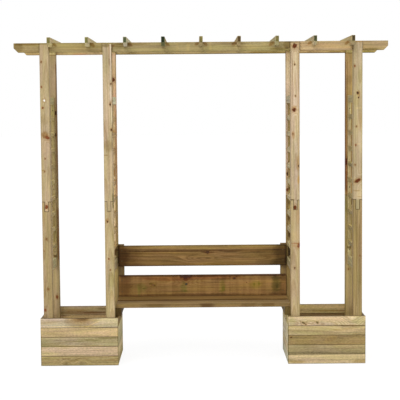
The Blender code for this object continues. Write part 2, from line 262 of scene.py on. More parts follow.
def makeStudio(plan):
    scene = bpy.context.scene
    scene.view_settings.view_transform = "Standard"
    for name, lamp in plan["lamps"].items():
        data = bpy.data.lights.new(name, "SUN")
        data.energy = lamp["strength"]
        data.angle = math.radians(lamp["softness"])
        sun = addObject(name, data)
        sun.rotation_euler = Vector(lamp["from"]).to_track_quat("Z", "Y").to_euler()
        sun.location = lamp["from"]

    scene.world = bpy.data.worlds.new("studio_world")
    air = Finish("studio_world", scene.world)
    sky = air.node("Background", inputs={"Color": grey(1.0), "Strength": plan["sky"]})
    backdrop = air.node("Background", inputs={"Color": grey(1.0)})
    rays = (air.node("LightPath", output=ray) for ray in ("Is Camera Ray", "Is Transmission Ray"))
    seen = air.node("MixShader", inputs={0: air.most(*rays), 1: sky, 2: backdrop})
    air.node("OutputWorld", inputs={"Surface": seen})

    bm = bmesh.new()
    bmesh.ops.create_grid(bm, x_segments=1, y_segments=1, size=plan["floorSize"])
    floor = addObject("studio_floor", meshFrom(bm, "studio_floor"))
    floor.location = (0.0, 0.0, -plan["floorDrop"])
    floor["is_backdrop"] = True

    cover = Finish("floor_cover")
    plain = cover.node("BsdfDiffuse", inputs={"Color": grey(plan["floorPaint"])})
    faint = cover.node("BsdfDiffuse", inputs={"Color": grey(plan["floorShade"])})
    glow = cover.node("Emission", inputs={"Color": grey(1.0), "Strength": plan["floorGlow"]})
    bright = cover.node("AddShader", inputs={0: faint, 1: glow})
    camera = cover.node("LightPath", output="Is Camera Ray")
    seen = cover.node("MixShader", inputs={0: camera, 1: plain, 2: bright})
    cover.node("OutputMaterial", inputs={"Surface": seen})
    floor.data.materials.append(cover.material)


makeCamera(cameraView)
makeStudio(studio)
print("arbor: camera, lamps and floor made")

# Pressure-treated pine. Tones are colours on screen, tints are percent of the colour beneath, and the
# heart and the marks are in millimetres. A look can have its own value for most of these
pine = {
    "heart": (0, 50, 20),  # across, through, and the drift along each metre
    "ringGap": 0.0036,
    "ringJitter": 1.6,
    "sway": 0.020,
    "lateRise": (0.30, 0.88),  # parts of a year's ring
    "lateFall": (0.90, 1.0),
    "late": 0.55,
    "lateTint": (70, 61, 48),
    "band": 0.80,  # broad bands, a few rings wide
    "bandPace": 62.0,
    "streak": 0.80,
    "speck": 0.50,
    "fibre": 0.30,
    "cloud": 0.60,
    "warmFade": (0.35, 0.65),
    "warmTint": (105, 99, 98),
    "yellowTint": (102, 101, 84),
    "green": 0.1,
    "greenFade": (0.40, 0.70),
    "greenTint": (60, 70, 46),
    "sawFade": (0.38, 0.62),
    "sawTint": (62, 56, 50),
    "line": 0.30,  # sparse dark resin lines along the grain
    "lineFade": (0.60, 0.72),
    "lineTint": (56, 46, 32),
    "endFade": (0.75, 0.92),
    "endTint": (62, 60, 46),
    "edge": 0.55,
    "edgeWear": (0.8, 0.6),
    "edgeTint": (62, 58, 44),
    "edgeWidth": 0.006,
    "gapTint": (16, 12, 7),
    "roughness": 0.66,
    "roughSpread": 0.25,
    "shine": 0.2,
    "grainDepth": 0.0006,
    "relief": (0.35, 0.5, 0.4),  # late wood, streaks and fibres
    "drift": 9.0,  # how far apart in the log two boards can be cut
    "cells": {  # pace along, across and through the grain, and detail
        "bend": ((0.9, 6.0, 6.0), 2.0),
        "rough": ((70.0, 70.0, 70.0), 2.0),
        "season": ((1.6, 14.0, 14.0), 1.0),
        "streak": ((2.6, 150.0, 150.0), 2.0),
        "fibre": ((26.0, 1000.0, 1000.0), 1.0),
        "cloud": ((4.0, 14.0, 14.0), 3.0),
        "blush": ((5.0, 30.0, 30.0), 2.0),
        "speck": ((75.0, 170.0, 170.0), 2.0),
        "resin": ((1.3, 210.0, 210.0), 1.0),
    },
    "patchRough": (1.2, 0.5, 0.7),
    "patchFade": (0.55, 1.25),
    "streakPace": 9.0,
    "streakWeave": 2.2,  # times its half width
    "streakShift": 90.0,
    "streakCore": 0.55,
    "streakFade": 0.03,
    "knotShape": (0.0, 1.33),  # slant, and length against width
    "knotRough": 1.1,
    "knotBulge": (0.35, 0.8),
    "knotFade": (0.75, 1.15),
    "knotRings": (0.0, 0.35, 0.5, 0.72, 0.95),
    "knotRelief": 0.5,
    "haloFade": (0.9, 2.6),
    "halo": 0.5,
    "haloTint": (80, 62, 42),
    "knots": {  # core, middle and rim
        "red": ((112, 58, 30), (142, 84, 44), (104, 62, 34)),
        "dark": ((60, 38, 22), (92, 62, 36), (58, 38, 22)),
        "wine": ((78, 34, 8), (112, 56, 18), (66, 34, 10)),
        "char": ((58, 32, 22), (78, 46, 30), (50, 30, 20)),
        "moss": ((92, 80, 46), (124, 108, 68), (78, 68, 38)),
        "brown": ((116, 80, 44), (142, 106, 64), (104, 74, 44)),
        "teal": ((48, 58, 48), (62, 72, 58), (56, 60, 44)),
        "pale": ((253, 250, 240), (250, 244, 230), (150, 122, 86)),
    },
}


def growPine(finish, look, grain, endness, drift, spot=None, edge=None, jointLinesAndShade=None):
    # grain and spot: the place as (along, across, through) from the middle of the board and of the piece.
    # Knots are (along, across, radius, kind, slant, length against width), patches (along, across, half
    # length, half width, and the tint's red, green and blue, slant), streaks (across, low, high, half width,
    # red, green, blue), swells in the rings (along, across, half length, half width, lift)
    look = {"knots": (), "patches": (), "streaks": (), "swells": (), "base": 0.0, **look}
    spot = grain if spot is None else spot
    field, base = grain + drift, look["base"]

    def want(name):
        return look.get(name, pine[name])

    def cells(name, output=0):
        pace, detail = pine["cells"][name]
        return finish.noise(field * pace, detail, output)

    def offsetTo(along, across):
        return spot - (along / 1000 - base, across / 1000, 0.0)

    heart = want("heart")
    if isinstance(heart, tuple):
        across, through, slope = (value / 1000 for value in heart)
        heart = finish.vector(0.0, across, grain[0] * slope + through)
    bend = (cells("bend", 1) - 0.5) * (0.0, 1.0, 1.0)
    radius = finish.length(grain * (0.0, 1.0, 1.0) - heart + bend * want("sway"))
    rough = cells("rough") - 0.5
    for along, across, length, width, lift in look["swells"]:
        away = finish.length(offsetTo(along, across) * (1000 / length, 1000 / width, 0.0))
        radius = radius + finish.fade(away * away * -1.0) * (lift / 1000)
    spots = []
    for along, across, size, kind, *shape in look["knots"]:
        slant, tall = shape or pine["knotShape"]
        kind, _, side = kind.partition(" ")
        if side:
            offset = spot - (along / 1000 - base, 0.0, across / 1000)
        else:
            offset = offsetTo(along, across)
        if slant:
            offset = offset - finish.vector(offset[1] * slant, 0.0, 0.0)
        wide = 1000 / size
        reach = finish.length(offset * (wide / tall, 0.0 if side else wide, wide if side else 0.0))
        steep, lift = pine["knotBulge"]
        radius = radius + finish.fade(reach * reach * -steep) * (lift * size / 1000)
        spots.append((reach + rough * pine["knotRough"], kind))
    season = radius / want("ringGap") + cells("season") * pine["ringJitter"]
    season = finish.math("FRACT", season)
    late = finish.rise(season, *pine["lateRise"]) * finish.fall(season, *pine["lateFall"])
    band = finish.wander(radius * pine["bandPace"] + drift[1])
    streak, fibre, cloud, speck = cells("streak"), cells("fibre"), cells("cloud"), cells("speck")
    shade = 1.0 + (band - 0.5) * want("band")
    for part, name in ((streak, "streak"), (speck, "speck"), (fibre, "fibre"), (cloud, "cloud")):
        shade = shade + (part - 0.5) * want(name)
    tone = look["tone"] if isinstance(look["tone"], Wire) else paint(*look["tone"])
    colour = finish.tint(late * want("late"), want("lateTint")) * tone * shade
    blush = finish.rise(cells("blush"), *pine["warmFade"])
    colour = colour * finish.mix(blush, percent(pine["warmTint"]), percent(pine["yellowTint"]))
    colour = colour * finish.tint(finish.rise(cloud, *pine["greenFade"]) * want("green"), pine["greenTint"])
    if "saw" in look:
        pace, depth = look["saw"]
        marks = finish.wander(spot[0] * pace + drift[2], 4.0)
        colour = colour * finish.tint(finish.rise(marks, *pine["sawFade"]) * depth, pine["sawTint"])
    resin = finish.rise(cells("resin"), *pine["lineFade"])
    colour = colour * finish.tint(resin * want("line"), pine["lineTint"])
    onLate, onStreak, onFibre = pine["relief"]
    height = late * onLate + streak * onStreak + fibre * onFibre
    cloudy, streaky, crumbly = pine["patchRough"]
    for along, across, length, width, red, green, blue, *slant in look["patches"]:
        offset = offsetTo(along, across)
        if slant:
            offset = offset - finish.vector(0.0, offset[0] * slant[0], 0.0)
        away = finish.length(offset * (1000 / length, 1000 / width, 0.0))
        away = away + (cloud - 0.5) * cloudy + (streak - 0.5) * streaky + rough * crumbly
        colour = colour * finish.tint(finish.fall(away, *pine["patchFade"]), (red, green, blue))
    fade = pine["streakFade"]
    for across, low, high, width, *tint in look["streaks"]:
        across, low, high, width = across / 1000, low / 1000 - base, high / 1000 - base, width / 1000
        weave = finish.wander(spot[0] * pine["streakPace"] + across * pine["streakShift"], 3.0) - 0.5
        weave = weave * (pine["streakWeave"] * width)
        share = finish.fall(finish.size(spot[1] - across + weave), pine["streakCore"] * width, width)
        share = share * finish.rise(spot[0], low, low + fade) * finish.fall(spot[0], high - fade, high)
        colour = colour * finish.tint(share, tint)
    for reach, kind in spots:
        core, middle, rim = (paint(*tone) for tone in pine["knots"][kind])
        inside = finish.fall(reach, *pine["knotFade"])
        rings = finish.ramp(reach, list(zip(pine["knotRings"], (core, middle, core, middle, rim))))
        colour = colour * finish.tint(finish.fall(reach, *pine["haloFade"]) * pine["halo"], pine["haloTint"])
        colour = finish.mix(inside, colour, rings)
        height = height + inside * pine["knotRelief"]
    colour = colour * finish.tint(endness, want("endTint"))
    if edge is not None:
        streaky, even = pine["edgeWear"]
        colour = colour * finish.tint(edge * (streak * streaky + even) * pine["edge"], pine["edgeTint"])
    # dark lines in the joints and seams, and on the beams the painted shade beside the posts' cheeks
    if jointLinesAndShade is not None:
        colour = colour * finish.tint(jointLinesAndShade, pine["gapTint"])
    roughness = (streak - 0.5) * pine["roughSpread"] + pine["roughness"]
    settings = {"Specular IOR Level": pine["shine"]}
    return finish.surface(colour, roughness, height, pine["grainDepth"], settings)


def dress(name, material):
    materials = nodes[name].data.materials
    materials.clear()
    materials.append(material)


def middleOf(name):
    low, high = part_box(name)
    return (low + high) / 2


def faceOf(name, axis, way):
    # where the piece's face lies on the side that way points to
    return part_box(name)[1 if way > 0 else 0][axis]


def grainOf(finish, name, axes):
    # axes names the piece's directions: along the grain, across it, and through its thickness
    place = finish.place() - tuple(middleOf(name))
    along, across, through = (place["xyz".index(axis)] for axis in axes)
    facing = finish.normal()["xyz".index(axes[0])]
    return finish.vector(along, across, through), finish.rise(finish.size(facing), *pine["endFade"])


def edgeOf(finish, name, axes, grain):
    # 1 along the long edges, 0 inside the faces
    low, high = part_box(name)
    shares = []
    for way in (1, 2):
        reach = (high - low)["xyz".index(axes[way])] / 2
        shares.append(finish.rise(finish.size(grain[way]), reach - pine["edgeWidth"], reach))
    return shares[0] * shares[1]


def driftOf(name):
    # every board is cut from another place in the log
    chance = random.Random(name)
    return tuple(chance.uniform(-pine["drift"], pine["drift"]) for _ in range(3))


def dressStick(name, axes, look, finish=None, darkLines=None):
    finish = finish or Finish(name + "_pine")
    grain, endness = grainOf(finish, name, axes)
    edge = edgeOf(finish, name, axes, grain)
    jointLinesAndShade = darkLines(finish, grain) if darkLines else None
    dress(name, growPine(finish, look, grain, endness, driftOf(name), edge=edge, jointLinesAndShade=jointLinesAndShade))


# Posts. Their marks are given by height above the ground
posts = {
    "axes": "zxy",
    "shoulder": 1.063,
    "foot": 1.000,
    "half": 0.012,
    "line": 0.0028,
    "lineDepth": 0.92,
    "faceFade": (0.4, 0.8),
    "tongueEdge": 0.0004,
}
postLooks = {
    "left_outer_front_post_upper": dict(
        tone=(186, 168, 136), heart=(12, 50, 10), green=0.15, band=0.5, streak=0.45, cloud=0.9,
        knots=[
            (1957, -18, 5, "brown"), (1799, -19, 5, "red"), (1713, -2, 6.5, "pale"), (1666, -13, 5.5, "red"),
            (1476, 13, 13.5, "red", -0.35, 0.95), (1341, -3, 4, "brown"), (1257, -8, 5.5, "brown", 0.4, 0.9),
            (1030, 0, 10, "red"),
        ],
        patches=[
            (1492, -4, 22, 22, 76, 62, 42), (1265, -20, 6, 16, 80, 70, 50), (1400, 10, 60, 30, 108, 105, 106),
            (1012, 0, 8, 10, 116, 116, 114), (1800, 6, 90, 12, 106, 105, 106), (1590, 0, 30, 40, 90, 88, 82),
        ],
    ),
    "left_outer_front_post_lower": dict(
        tone=(177, 157, 119), heart=(-16, 45, -12), green=0.15, band=0.6, streak=0.6,
        knots=[(823, -4, 6, "brown"), (745, -20, 3, "red"), (498, 1, 6.5, "brown"), (363, -21, 8, "red")],
    ),
    "left_inner_front_post_upper": dict(
        tone=(193, 174, 144), heart=(-20, 60, 6), green=0.1, band=0.5, streak=0.45, cloud=0.9,
        knots=[
            (1850, 24, 5, "brown side"), (1684, 17, 5.5, "dark"), (1522, 22, 5.5, "dark"),
            (1816, 22, 4.2, "dark"),
        ],
        streaks=[
            (22, 1820, 2120, 6, 136, 150, 168), (21, 1700, 1815, 8, 140, 154, 180),
            (25.5, 1550, 1700, 4.5, 140, 154, 180), (13.5, 1920, 2080, 3, 68, 58, 44),
            (29, 1460, 2060, 1.5, 60, 50, 38),
        ],
        # The patch at 2058 mm is a painted shadow across the post's top
        patches=[
            (1420, 0, 34, 40, 82, 78, 68), (1545, -10, 50, 22, 92, 90, 84), (1260, 0, 120, 34, 102, 102, 92),
            (1360, -16, 4, 14, 72, 62, 48, 0.4), (1690, 17, 20, 5, 70, 58, 42),
            (1525, 24, 12, 10, 84, 66, 46), (2058, -4, 12, 28, 60, 58, 44), (1084, 26, 30, 6, 56, 58, 42),
            (1980, -8, 110, 22, 86, 88, 86),
        ],
    ),
    "left_inner_front_post_lower": dict(
        tone=(192, 174, 136), heart=(10, 50, 15), green=0.2, band=0.6, streak=0.6,
        knots=[(932, -11, 5.5, "dark"), (692, -5, 5, "red"), (620, 4, 4.5, "brown")],
        patches=[
            (940, -11, 16, 8, 76, 62, 44), (560, 10, 60, 24, 90, 92, 80), (1040, 26, 22, 6, 56, 58, 42),
            (860, 22, 60, 6, 84, 86, 70), (450, 0, 50, 30, 106, 106, 100),
        ],
    ),
    "right_inner_front_post_upper": dict(
        tone=(191, 173, 146), heart=(4, 30, 8), green=0.0, band=0.7, streak=0.6,
        knots=[
            (2047, -2, 16.5, "wine", 0.0, 0.95), (1930, -2, 4.5, "dark"), (1729, 1, 4, "dark"),
            (1640, -6, 12.5, "wine", 0.0, 1.05), (1487, -15, 5, "brown"), (1282, 22, 5, "dark"),
            (1015, -3, 11.5, "wine", 0.0, 1.25),
        ],
        streaks=[
            (-16, 1620, 1980, 1.8, 52, 44, 34), (-4, 1400, 2000, 11, 110, 112, 116),
            (22, 1100, 2060, 2, 80, 66, 56),
        ],
        patches=[
            (1648, -4, 24, 17, 82, 70, 50), (1190, 21, 32, 8, 102, 84, 52), (1300, 18, 50, 12, 84, 74, 56),
            (2050, 0, 12, 24, 90, 80, 70), (1480, -12, 26, 10, 90, 76, 64), (1940, -4, 20, 4, 70, 60, 50),
            (1064, -18, 5, 14, 44, 38, 26), (1560, 4, 100, 16, 108, 108, 106),
        ],
    ),
    "right_inner_front_post_lower": dict(
        tone=(183, 164, 129), heart=(-10, 55, 14), green=0.05, band=0.6, streak=0.55,
        knots=[(770, 24, 11, "red", 0.6, 1.3), (623, -4, 5, "dark")],
        patches=[
            (782, 4, 6, 28, 80, 58, 44), (766, -6, 5, 16, 90, 76, 62), (770, 20, 22, 12, 86, 62, 50),
            (830, 0, 40, 30, 107, 105, 100), (960, 18, 60, 12, 102, 92, 88),
        ],
    ),
    "right_outer_front_post_upper": dict(
        tone=(191, 175, 142), heart=(18, 45, -10), green=0.2, band=0.5, streak=0.45, cloud=0.9,
        tongue=(80, 84, 72),
        knots=[
            (1917, -21, 5.5, "red"), (1746, -1, 6.5, "dark"), (1716, 4, 5, "dark"), (1533, -10, 5, "brown"),
            (1414, -14, 5, "red"), (1286, -18, 5.5, "brown"), (1186, 1, 18.5, "wine", 0.5, 0.7),
        ],
        patches=[
            (1186, 0, 16, 22, 84, 72, 52, 0.4), (1096, 4, 30, 26, 112, 112, 106),
            (1120, -4, 5, 24, 78, 70, 54, -0.3), (1082, 10, 4, 18, 80, 72, 58),
            (1650, 4, 6, 26, 112, 110, 102, 0.4), (1560, 12, 70, 20, 100, 93, 88),
            (1420, 8, 6, 24, 110, 110, 104, 0.3), (1700, -10, 40, 24, 92, 90, 80),
            (1880, -6, 50, 30, 92, 94, 88), (1740, 6, 20, 10, 90, 78, 60),
        ],
    ),
    "right_outer_front_post_lower": dict(
        tone=(168, 146, 106), heart=(0, 30, 3), green=0.3, band=1.1, streak=1.1, line=0.6,
        knots=[(700, 12, 4.5, "brown")],
        streaks=[
            (-6, 360, 980, 2.6, 62, 58, 44), (10, 310, 920, 2.6, 62, 58, 44), (19, 500, 1000, 2, 66, 62, 48),
            (-17, 400, 940, 1.8, 70, 66, 52),
        ],
    ),
    # On three rear upper posts, the thin dark patch at 2015.5 mm is painted shade under the rear beam
    "left_outer_rear_post_upper": dict(
        tone=(178, 158, 123), heart=(15, -45, 12), green=0.3,
        knots=[(1631, 22, 11, "dark"), (1483, 16, 10, "dark")],
        streaks=[(28, 1060, 1980, 2.8, 52, 38, 24), (17.5, 1100, 1720, 1.8, 50, 40, 28)],
        patches=[(2043, 0, 26, 80, 130, 140, 125), (2015.5, 0, 3, 80, 66, 58, 46)],
    ),
    "left_outer_rear_post_lower": dict(
        tone=(182, 163, 124), heart=(-10, -50, 10), green=0.25,
        knots=[(385, 13, 9, "red")],
        streaks=[(26, 620, 1000, 6, 62, 42, 30), (14, 660, 980, 2, 60, 52, 40)],
    ),
    "left_inner_rear_post_upper": dict(
        tone=(230, 196, 167), heart=(20, -50, 10), green=0.35,
        knots=[(1850, 11, 11, "wine"), (1050, 18, 11, "dark")],
        streaks=[(26, 1080, 1660, 4, 72, 60, 44), (6, 1560, 1740, 3, 50, 36, 24)],
        patches=[
            (1930, 0, 150, 80, 78, 79, 76), (2043, 0, 26, 80, 58, 60, 40), (2015.5, 0, 3, 80, 60, 52, 40),
        ],
    ),
    "left_inner_rear_post_lower": dict(
        tone=(186, 164, 115), heart=(-14, -40, 10), green=0.2,
        knots=[(700, 20, 6.5, "brown")],
    ),
    "right_inner_rear_post_upper": dict(
        tone=(221, 199, 175), heart=(10, -40, -10), green=0.1,
        knots=[(1210, -10, 15, "dark"), (1101, -19, 10, "red")],
        patches=[(2010, 0, 50, 80, 84, 80, 72), (2043, 0, 26, 80, 46, 42, 26)],
    ),
    # The lower length's tone is darker than the upper's: painted shade from the bench in front of it
    "right_inner_rear_post_lower": dict(
        tone=(165, 141, 90), heart=(10, -50, 10), green=0.3,
        knots=[(640, -15, 6.5, "brown")],
    ),
    "right_outer_rear_post_upper": dict(
        tone=(186, 157, 107), heart=(-12, -50, 10), green=0.15,
        knots=[(1290, -20, 20, "wine")],
        streaks=[(-28.5, 1080, 1980, 2.5, 55, 42, 26), (-17.5, 1080, 1980, 1.8, 48, 36, 22)],
        patches=[
            (1170, -20, 110, 12, 78, 56, 44), (1840, -15, 30, 50, 82, 80, 76),
            (2043, 0, 26, 80, 106, 128, 126), (2015.5, 0, 3, 80, 60, 54, 42),
            (1460, -18, 280, 18, 92, 84, 76),
        ],
    ),
    "right_outer_rear_post_lower": dict(
        tone=(183, 163, 116), heart=(12, -40, 10), green=0.35,
        knots=[(560, -10, 6, "brown")],
        patches=[(1000, -22, 80, 16, 72, 78, 62)],
    ),
}


def jointLines(finish, grain):
    # the dark lines where the upper length's tongue sits in the lower one
    shoulder, foot, half, line = (posts[key] for key in ("shoulder", "foot", "half", "line"))
    height, across = finish.place()[2], finish.size(grain[1])
    top = finish.seam(height, shoulder, line) * finish.rise(across, half - line, half)
    bottom = finish.seam(height, foot, line) * finish.fall(across, half, half + line)
    cheek = finish.seam(across, half, line) * finish.rise(height, foot - line, foot)
    cheek = cheek * finish.fall(height, shoulder, shoulder + line)
    onFace = finish.rise(finish.size(finish.normal()[1]), *posts["faceFade"])
    return finish.most(finish.most(bottom, cheek) * onFace, top) * posts["lineDepth"]


for name, look in postLooks.items():
    finish = Finish(name + "_pine")
    look = {**look, "base": middleOf(name).z}
    if "tongue" in look:
        shoulder = posts["shoulder"]
        below = finish.fall(finish.place()[2], shoulder - posts["tongueEdge"], shoulder)
        look["tone"] = finish.tint(below, look["tongue"]) * paint(*look["tone"])
    dressStick(name, posts["axes"], look, finish, jointLines)
print("arbor: posts dressed")

# Beams, each in three lengths
beams = {
    "axes": "xzy",
    "postPlaces": (0.5990, 1.0004),
    "postHalf": 0.029,
    # painted shade beside the posts' cheeks: the lines' width and depth
    "cheekLine": 0.003,
    "cheekDepth": 0.6,
    "rafterPitch": 0.2400,
    # the painted shadow each rafter casts on the beam: reach from the rafter, then place across, half length,
    # half width and tint, then slant
    "dampReach": 0.026,
    "damp": (19, 17, 13, 66, 52, 36),
    "dampSlant": -0.5,
}
beamLooks = {
    "front_beam_left": dict(
        tone=(169, 153, 106), heart=(-20, 40, 12), green=0.25,
        patches=[
            (-270, 4, 40, 40, 70, 66, 56), (-210, 22, 110, 9, 66, 56, 42), (140, 0, 130, 16, 105, 104, 94),
        ],
    ),
    "front_beam_middle": dict(
        tone=(173, 159, 114), heart=(16, 45, 8), green=0.25,
        knots=[(-560, 10, 5, "brown"), (548, -12, 5, "moss")],
        # The darker patches at -520 and -430 mm along are painted shadows of foliage, and the three slanted
        # lighter patches at -150, -82 and 60 mm are painted bands of light
        patches=[
            (556, 8, 30, 24, 60, 54, 38), (500, -18, 60, 10, 74, 70, 50), (-520, 12, 60, 18, 70, 66, 52),
            (-430, 20, 120, 10, 80, 76, 62), (-82, 0, 14, 34, 116, 114, 108, 0.3),
            (-150, 0, 10, 34, 110, 108, 102, 0.3), (60, 0, 10, 34, 110, 108, 102, -0.3),
            (300, -4, 90, 16, 108, 106, 96), (420, 10, 40, 12, 112, 110, 100),
        ],
    ),
    "front_beam_right": dict(
        tone=(191, 168, 129), heart=(30, 50, 10), green=0.1,
        patches=[
            (190, -26, 60, 9, 66, 64, 46), (0, -12, 200, 8, 104, 98, 92), (-130, 4, 140, 12, 104, 96, 90),
            (-280, 10, 20, 20, 74, 68, 54), (240, 0, 110, 80, 90, 90, 84), (-120, 0, 160, 80, 104, 106, 110),
        ],
    ),
    "rear_beam_left": dict(
        tone=(196, 174, 130), heart=(10, -40, 10), green=0.15,
        patches=[(80, -26, 50, 6, 102, 78, 66), (-240, 0, 80, 60, 80, 74, 68)],
    ),
    "rear_beam_middle": dict(
        tone=(178, 160, 112), heart=(-18, -50, 8), green=0.2,
        patches=[(0, -29, 640, 4, 62, 58, 40), (450, -22, 140, 6, 80, 74, 54)],
    ),
    "rear_beam_right": dict(
        tone=(188, 164, 114), heart=(22, -45, 10), green=0.2,
        patches=[
            (200, -26, 80, 10, 56, 60, 40), (10, -25, 50, 6, 62, 56, 40), (-100, -29, 200, 3, 70, 68, 48),
        ],
    ),
}


def dampMarks(name):
    # painted shadow: a brown patch on the beam beside each rafter, on the side towards the middle, where the
    # rafter's overhang casts its shadow
    low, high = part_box(name)
    marks = []
    for number in range(-4, 5):
        for side in (-1.0, 1.0):
            place = number * beams["rafterPitch"] + side * beams["dampReach"]
            if side * number <= 0 and low.x < place < high.x:
                along = (place - (low.x + high.x) / 2) * 1000
                marks.append((along, *beams["damp"], side * beams["dampSlant"]))
    return marks


def cheekLines(finish, grain):
    # the dark lines where the beam meets the posts' cheeks: the joint's gap, darkened further as painted
    # shade beside the cheeks that stand proud of the beam
    away, line = finish.size(finish.place()[0]), beams["cheekLine"]
    fromPosts = (finish.size(away - post) for post in beams["postPlaces"])
    inner, outer = (finish.seam(reach, beams["postHalf"] + line, line) for reach in fromPosts)
    return finish.most(inner, outer) * beams["cheekDepth"]


for name, look in beamLooks.items():
    look = {**look, "patches": look["patches"] + dampMarks(name), "band": 0.6, "cloud": 0.8}
    dressStick(name, beams["axes"], look, darkLines=cheekLines)
print("arbor: beams dressed")

# Rafters, left to right: side tone, and the tint of the end grain
rafters = {
    "axes": "yzx",
    "tones": [
        (206, 190, 148), (208, 196, 158), (208, 202, 176), (176, 160, 120), (182, 166, 122), (184, 166, 124),
        (194, 184, 150), (198, 186, 150), (190, 174, 132),
    ],
    "ends": [
        (34, 38, 22), (34, 40, 21), (14, 19, 12), (10, 16, 12), (50, 54, 36), (20, 16, 10), (36, 35, 18),
        (12, 16, 9), (13, 12, 7),
    ],
    "green": 0.3,
    "heartAcross": (-30, 26, 10, -12),
    "heartThrough": (20, -34, 40),
    "heartDrift": 12,
    # a dark green patch on rafter 4's front end
    "mossy": {4: [(-300, 0, 60, 80, 34, 46, 38)]},
}
for number, (tone, end) in enumerate(zip(rafters["tones"], rafters["ends"]), 1):
    heart = (rafters["heartAcross"][number % 4], rafters["heartThrough"][number % 3], rafters["heartDrift"])
    look = {"tone": tone, "heart": heart, "green": rafters["green"], "endTint": end}
    look["patches"] = rafters["mossy"].get(number, ())
    dressStick("rafter_" + str(number), rafters["axes"], look)
print("arbor: rafters dressed")

# Planter walls. Tones and grains run from the lowest board to the top one, a grain as percent of
# late wood, sway and green
planterWalls = {
    "boardHeight": 0.062,
    "boards": 5,
    "seamLine": 0.0012,
    "seamDepth": 0.8,
    # painted shade: each board darker towards its lower edge, as if lit from above
    "cupping": 0.13,  # how much darker a board gets from its top edge to its lower one
    "heartSpread": (0.0, 0.08, 0.06),
    "heartMiddle": (0.0, 0.040, 0.08),
    "heartDrift": 0.06,
    "look": {"band": 0.9, "streak": 0.70, "speck": 0.9, "ringGap": 0.0050},
    "grains": [(55, 4, 30), (40, 2.5, 30), (50, 3, 35), (40, 2.5, 30), (55, 4, 30)],
}
wallLooks = {
    "left_planter_wall_front": dict(
        axes="xzy", seed=3.0,
        patches=[
            (10, 150, 108, 52, 70, 63, 52), (12, 152, 78, 37, 122, 118, 108), (16, 154, 60, 29, 68, 61, 50),
            (22, 155, 36, 16, 58, 52, 42), (185, 128, 110, 30, 114, 114, 98),
            (85, 116, 45, 5, 124, 120, 102, 0.45), (-150, 101, 140, 5, 128, 122, 98),
            (190, 24, 90, 6, 66, 64, 52), (50, 100, 100, 5, 122, 118, 96), (-200, 130, 80, 18, 96, 90, 84),
            (80, 10, 60, 8, 76, 76, 66, -0.06), (-30, 4, 70, 6, 78, 80, 70), (0, -27, 250, 4, 122, 116, 94),
            (-190, -78, 60, 12, 110, 114, 100), (-50, -124, 60, 10, 82, 80, 70, 0.2),
            (249, 0, 4, 156, 56, 54, 38), (-249, -30, 4, 120, 56, 54, 40),
        ],
        swells=[(20, 152, 80, 30, 12), (-90, -130, 35, 20, 14), (10, -128, 45, 18, 16)],
        tones=[(169, 153, 109), (197, 176, 145), (181, 166, 134), (195, 172, 133), (196, 182, 161)],
        grains=[(70, 5, 25), (20, 2, 20), (50, 3, 60), (18, 2, 20), (40, 4, 25)],
    ),
    "right_planter_wall_front": dict(
        axes="xzy", seed=8.0,
        knots=[
            (-150, 112, 8, "moss", -0.9, 1.3), (-136, 104, 5, "moss", -0.4, 1.3),
            (-62, 115, 7.5, "moss", -0.6, 1.1), (-232, 20, 4.5, "dark"),
        ],
        patches=[
            (-118, 112, 26, 2.8, 60, 56, 42, -0.28), (-94, 106, 20, 2.4, 66, 60, 46, -0.2),
            (-132, 120, 12, 3, 62, 58, 44, 0.5), (0, 134, 140, 14, 104, 99, 98),
            (215, 126, 50, 34, 86, 93, 80), (-226, 126, 30, 34, 86, 92, 76), (150, 92, 90, 4, 70, 62, 46),
            (130, -38, 130, 18, 110, 106, 100), (-170, -40, 70, 20, 90, 92, 90),
            (20, 4, 40, 20, 110, 106, 94, 0.3), (-190, -142, 60, 10, 76, 72, 54),
            (210, -140, 50, 10, 80, 76, 60), (-232, 20, 10, 8, 130, 128, 114),
            (100, 70, 90, 10, 92, 88, 80, 0.08), (-249, 0, 4, 156, 54, 54, 34),
            (249, 0, 3.4, 156, 60, 60, 42),
        ],
        swells=[(165, 118, 70, 34, 22), (-120, 110, 40, 14, 12), (20, 4, 80, 34, 8), (120, 60, 80, 16, 6)],
        tones=[(200, 181, 144), (161, 147, 109), (155, 134, 92), (186, 168, 128), (211, 191, 159)],
        grains=[(30, 2, 15), (35, 2.5, 20), (30, 2, 15), (50, 3, 35), (70, 6, 30)],
    ),
    "left_planter_wall_rear": dict(
        axes="xzy", seed=14.0,
        # The patch at 111 mm across is painted shade on the top board's lower half
        patches=[
            (-60, 128, 130, 12, 84, 72, 60), (130, 136, 70, 8, 58, 54, 44), (60, 112, 100, 6, 66, 58, 46),
            (0, 111, 260, 14, 66, 56, 46),
        ],
        tones=[(160, 140, 100), (150, 130, 92), (160, 138, 98), (210, 182, 140), (196, 176, 144)],
    ),
    "right_planter_wall_rear": dict(
        axes="xzy", seed=19.0,
        patches=[(60, 110, 160, 6, 70, 60, 50)],
        tones=[(160, 140, 100), (164, 144, 104), (156, 136, 96), (136, 112, 76), (207, 186, 137)],
    ),
    "left_planter_wall_bench": dict(
        axes="yzx", seed=25.0,
        tones=[(187, 171, 119), (221, 205, 160), (199, 189, 145), (218, 206, 160), (150, 121, 57)],
    ),
    "right_planter_wall_bench": dict(
        axes="yzx", seed=31.0,
        tones=[(202, 200, 178), (208, 191, 158), (236, 226, 204), (234, 223, 189), (211, 192, 136)],
    ),
    "left_planter_wall_outer": dict(
        axes="yzx", seed=37.0,
        tones=[(190, 166, 122), (172, 152, 108), (200, 176, 136), (182, 162, 120), (194, 172, 130)],
    ),
    "right_planter_wall_outer": dict(
        axes="yzx", seed=44.0,
        tones=[(198, 176, 132), (180, 160, 116), (170, 150, 108), (200, 178, 138), (188, 166, 124)],
    ),
}


